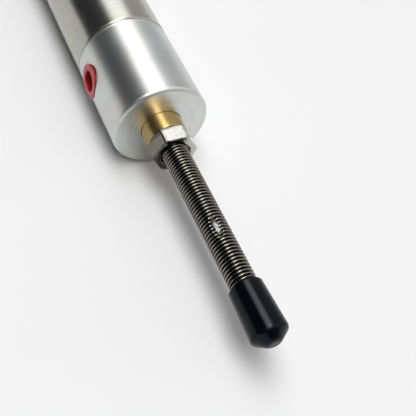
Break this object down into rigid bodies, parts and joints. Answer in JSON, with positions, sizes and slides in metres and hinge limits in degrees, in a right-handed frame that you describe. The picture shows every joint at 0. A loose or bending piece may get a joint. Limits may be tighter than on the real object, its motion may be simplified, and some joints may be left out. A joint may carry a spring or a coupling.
{
  "type": "pneumatic cylinder",
  "caption": "Round-body double-acting air cylinder with rear pivot lug, side ports, bronze rod bushing and a long threaded rod carrying a jam nut and a vinyl end cap.",
  "frame": {"origin": "centre of the rear pivot bore", "axes": "+X along the rod towards its tip, +Z along the pivot bore, both air ports face -Y"},
  "size_m": [0.2752, 0.0302, 0.03],
  "materials": {
    "tube_stainless": "polished",
    "head_aluminium": "fine turned, bright",
    "bronze": "turned",
    "rod_steel": "bright thread",
    "nut_steel": "bright",
    "inner_steel": "plain",
    "piston_aluminium": "turned",
    "seal_rubber": "satin",
    "lip_rubber": "satin",
    "rod_seal_rubber": "satin",
    "wear_plastic": "matte",
    "cap_vinyl": "glossy",
    "plug_plastic": "semi-gloss"
  },
  "bodies": {
    "barrel": {"barrel_tube": "tube_stainless", "front_head": "head_aluminium", "rear_cap": "head_aluminium", "pivot_bushing": "bronze", "front_head_oring": "seal_rubber", "rear_cap_oring": "seal_rubber", "rod_bushing": "bronze", "rod_seal": "rod_seal_rubber", "seal_retainer": "inner_steel", "front_bumper": "lip_rubber", "rear_bumper": "lip_rubber"},
    "piston_guides": {"piston_seal_front": "lip_rubber", "piston_seal_rear": "lip_rubber", "piston_wear_ring": "wear_plastic"},
    "rod": {"piston_rod": "rod_steel", "piston_front_half": "piston_aluminium", "piston_rear_half": "piston_aluminium", "piston_oring": "seal_rubber", "piston_washer": "inner_steel", "piston_nut": "inner_steel"},
    "jam_nut": {"rod_nut": "nut_steel"},
    "end_cap": {"rod_end_cap": "cap_vinyl"},
    "port_plug": {"front_port_plug": "plug_plastic"}
  },
  "joints": [
    {"name": "rod_slide", "type": "slide", "parent": "barrel", "child": "piston_guides", "axis": [1, 0, 0], "range_m": [0, 0.076]},
    {"name": "rod_turn", "type": "hinge", "parent": "piston_guides", "child": "rod", "pos_m": [0.061, 0, 0], "axis": [1, 0, 0], "continuous": true},
    {"name": "rod_nut_travel", "type": "slide", "parent": "rod", "child": "jam_nut", "axis": [1, 0, 0], "range_m": [0, 0.0469]},
    {"name": "end_cap_pull", "type": "slide", "parent": "rod", "child": "end_cap", "axis": [1, 0, 0], "range_m": [0, 0.034]},
    {"name": "port_plug_pull", "type": "slide", "parent": "barrel", "child": "port_plug", "axis": [0, -1, 0], "range_m": [0, 0.015]}
  ]
}
